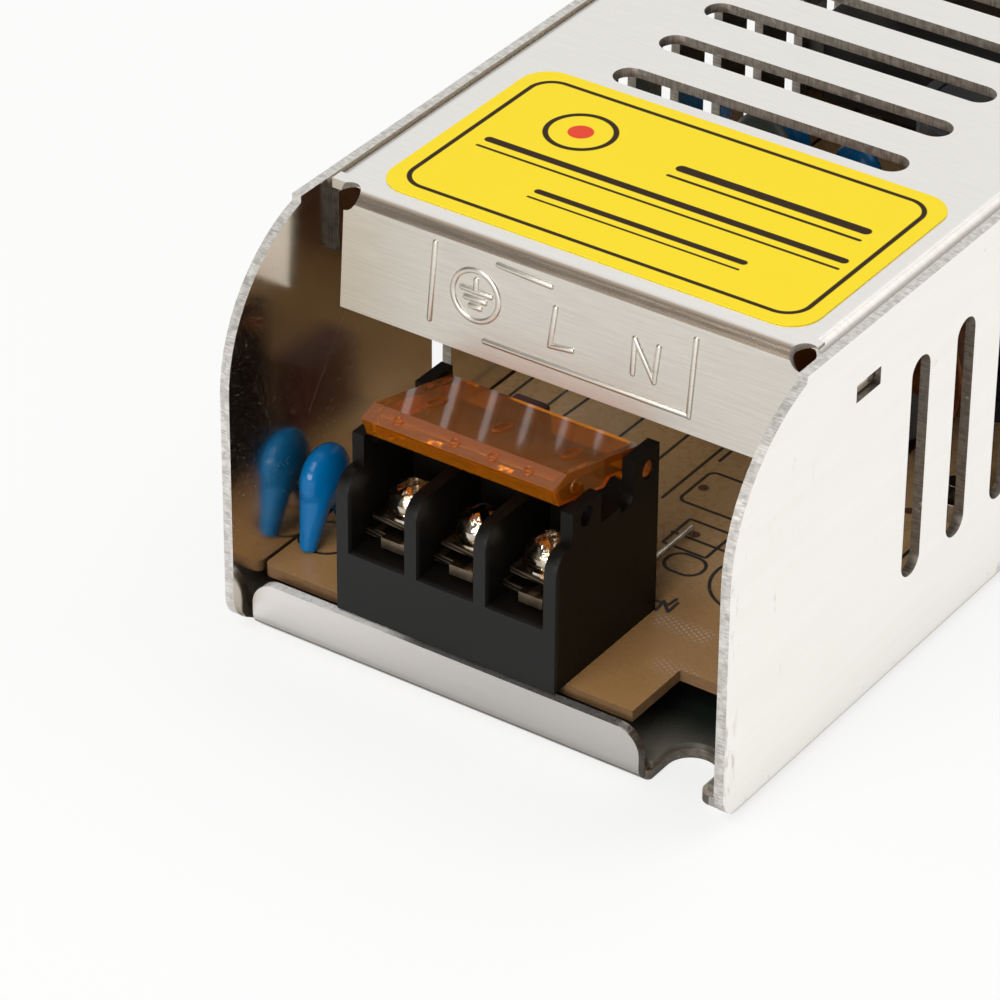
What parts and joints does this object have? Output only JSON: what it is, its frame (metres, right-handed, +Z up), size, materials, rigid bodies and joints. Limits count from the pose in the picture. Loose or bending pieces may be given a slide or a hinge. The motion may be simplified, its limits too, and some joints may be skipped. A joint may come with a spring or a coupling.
{
  "type": "led power supply",
  "caption": "Long low LED power supply: folded vented aluminium case and cover, circuit board, and barrier terminal blocks with hinged amber lids at both ends.",
  "frame": {"origin": "middle of the underside of the base", "axes": "+Z up, +Y along the case from the mains end to the output end, +X to the right seen from the mains end"},
  "size_m": [0.055, 0.214, 0.0424],
  "materials": {
    "sheet_metal": "satin",
    "label_film": "satin",
    "film": "satin",
    "board": "satin",
    "nickel": "satin",
    "black_plastic": "satin",
    "amber_plastic": "gloss",
    "brass": "satin",
    "maroon": "gloss",
    "yellow_box": "gloss",
    "ferrite": "matte",
    "copper": "gloss",
    "sleeve_dark": "gloss",
    "sleeve_green": "gloss",
    "blue_coat": "gloss",
    "grey_coat": "satin",
    "tape": "gloss",
    "core_paint": "satin",
    "white_plastic": "satin",
    "blue_plastic": "satin",
    "green_lens": "gloss"
  },
  "bodies": {
    "case": {"base_shell": "sheet_metal", "top_cover": "sheet_metal", "face_label": "label_film", "insulation_film": "film", "circuit_board": "board", "board_pillars": "nickel", "board_screws": "nickel", "mains_block": "black_plastic", "output_block": "black_plastic", "fuse": "maroon", "jumper_wire": "nickel", "film_capacitor": "yellow_box", "line_choke_core": "ferrite", "line_choke_coil_a": "copper", "line_choke_coil_b": "copper", "bridge_rectifier": "black_plastic", "bulk_capacitor_1": "sleeve_dark", "bulk_capacitor_2": "sleeve_dark", "disc_capacitor_1": "blue_coat", "disc_capacitor_2": "blue_coat", "disc_capacitor_3": "blue_coat", "inrush_thermistor": "grey_coat", "transformer_core": "ferrite", "transformer_bobbin": "black_plastic", "transformer_winding": "tape", "switch_transistor": "black_plastic", "switch_heatsink": "sheet_metal", "output_rectifier": "black_plastic", "rectifier_heatsink": "sheet_metal", "output_choke_core": "core_paint", "output_choke_coil": "copper", "output_capacitor_1": "sleeve_green", "output_capacitor_2": "sleeve_green", "output_capacitor_3": "sleeve_green", "control_chip": "black_plastic", "optocoupler": "white_plastic", "trimmer_body": "blue_plastic", "power_led": "green_lens", "mains_contact_1": "brass", "mains_contact_2": "brass", "mains_contact_3": "brass", "output_contact_1": "brass", "output_contact_2": "brass", "output_contact_3": "brass", "output_contact_4": "brass"},
    "mains_lid": {"mains_lid": "amber_plastic"},
    "output_lid": {"output_lid": "amber_plastic"},
    "trimmer_rotor": {"trimmer_rotor": "white_plastic"},
    "mains_screw_1": {"mains_screw_1": "nickel"},
    "mains_screw_2": {"mains_screw_2": "nickel"},
    "mains_screw_3": {"mains_screw_3": "nickel"},
    "output_screw_1": {"output_screw_1": "nickel"},
    "output_screw_2": {"output_screw_2": "nickel"},
    "output_screw_3": {"output_screw_3": "nickel"},
    "output_screw_4": {"output_screw_4": "nickel"}
  },
  "joints": [
    {"name": "mains_lid_hinge", "type": "hinge", "parent": "case", "child": "mains_lid", "pos_m": [-0.00432, -0.0896, 0.0221], "axis": [-1, 0, 0], "range_deg": [-14.5, 35]},
    {"name": "output_lid_hinge", "type": "hinge", "parent": "case", "child": "output_lid", "pos_m": [0.00131, 0.0896, 0.0221], "axis": [1, 0, 0], "range_deg": [0, 49.5]},
    {"name": "trimmer_turn", "type": "hinge", "parent": "case", "child": "trimmer_rotor", "pos_m": [0.0213, 0.0926, 0.0097], "axis": [0, 0, 1], "range_deg": [-135, 135]},
    {"name": "mains_screw_1_lift", "type": "slide", "parent": "case", "child": "mains_screw_1", "axis": [0, 0, 1], "range_m": [-0.0003, 0.002]},
    {"name": "mains_screw_2_lift", "type": "slide", "parent": "case", "child": "mains_screw_2", "axis": [0, 0, 1], "range_m": [-0.0003, 0.002]},
    {"name": "mains_screw_3_lift", "type": "slide", "parent": "case", "child": "mains_screw_3", "axis": [0, 0, 1], "range_m": [-0.0003, 0.002]},
    {"name": "output_screw_1_lift", "type": "slide", "parent": "case", "child": "output_screw_1", "axis": [0, 0, 1], "range_m": [-0.0003, 0.002]},
    {"name": "output_screw_2_lift", "type": "slide", "parent": "case", "child": "output_screw_2", "axis": [0, 0, 1], "range_m": [-0.0003, 0.002]},
    {"name": "output_screw_3_lift", "type": "slide", "parent": "case", "child": "output_screw_3", "axis": [0, 0, 1], "range_m": [-0.0003, 0.002]},
    {"name": "output_screw_4_lift", "type": "slide", "parent": "case", "child": "output_screw_4", "axis": [0, 0, 1], "range_m": [-0.0003, 0.002]}
  ]
}
